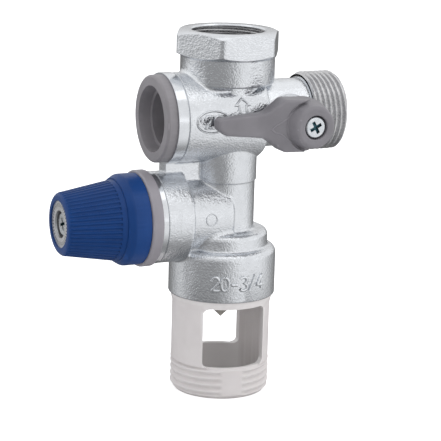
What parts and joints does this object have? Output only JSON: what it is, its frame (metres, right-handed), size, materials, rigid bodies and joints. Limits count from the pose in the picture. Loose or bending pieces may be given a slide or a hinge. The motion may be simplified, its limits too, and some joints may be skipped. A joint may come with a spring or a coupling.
{
  "type": "water heater safety group",
  "caption": "Angle-pattern hydraulic safety group for a water heater: shut-off lever, check valve, relief valve with drain knob, and air-gap drain funnel.",
  "frame": {"origin": "centre of the heater socket's top mouth", "axes": "+Z out of the heater socket, +X out of the cold inlet, -Y towards the lever and the front"},
  "size_m": [0.0975, 0.0474, 0.1221],
  "materials": {
    "chromed_brass": "chrome plated forged brass, satin",
    "brass": "machined brass",
    "polished_ball": "polished chrome",
    "white_ptfe": "smooth low-friction plastic",
    "grey_plastic": "moulded, fine satin",
    "lever_plastic": "moulded, fine satin",
    "blue_plastic": "moulded, satin",
    "white_plastic": "moulded, satin",
    "drip_plastic": "moulded, satin",
    "cartridge_plastic": "moulded acetal",
    "black_rubber": "moulded rubber",
    "zinc_steel": "bright zinc plated",
    "spring_steel": "drawn wire",
    "label_metal": "stamped, satin"
  },
  "bodies": {
    "main": {"body": "chromed_brass", "ball_seat_inner": "white_ptfe", "ball_seat_outer": "white_ptfe", "ball_retainer": "brass", "check_housing": "cartridge_plastic", "check_spring": "spring_steel", "check_oring": "black_rubber", "inspection_plug": "grey_plastic", "plug_oring": "black_rubber", "diaphragm": "black_rubber", "slip_washer": "brass", "relief_spring": "spring_steel", "adjusting_nut": "brass", "bonnet": "grey_plastic", "tundish": "white_plastic", "tundish_oring": "black_rubber", "drip_guide": "drip_plastic"},
    "lever": {"handle": "lever_plastic", "handle_screw": "zinc_steel", "ball_stem": "brass", "ball": "polished_ball", "stem_oring_inner": "black_rubber", "stem_oring_outer": "black_rubber"},
    "poppet": {"check_poppet": "cartridge_plastic", "check_seal": "black_rubber"},
    "shutter": {"relief_shutter": "brass", "relief_seal": "black_rubber", "spring_cup": "brass"},
    "knob": {"knob": "blue_plastic", "knob_label": "label_metal", "knob_screw": "zinc_steel", "relief_spindle": "zinc_steel"}
  },
  "joints": [
    {"name": "lever_turn", "type": "hinge", "parent": "main", "child": "lever", "pos_m": [0.0185, 0, -0.0285], "axis": [0, -1, 0], "range_deg": [0, 90]},
    {"name": "poppet_slide", "type": "slide", "parent": "main", "child": "poppet", "axis": [-1, 0, 0], "range_m": [0, 0.0035], "stiffness_N_per_m": 150, "springref_m": -0.004, "deforming": ["check_spring"]},
    {"name": "shutter_lift", "type": "slide", "parent": "main", "child": "shutter", "axis": [-1, 0, 0], "range_m": [0, 0.002], "deforming": ["relief_spring", "diaphragm"]},
    {"name": "knob_turn", "type": "hinge", "parent": "shutter", "child": "knob", "pos_m": [-0.045, 0, -0.0614], "axis": [-1, 0, 0], "range_deg": [0, 60]}
  ],
  "couplings": [
    {"joint": "knob_turn", "follows": "shutter_lift", "rad_per_m": 523.6}
  ]
}
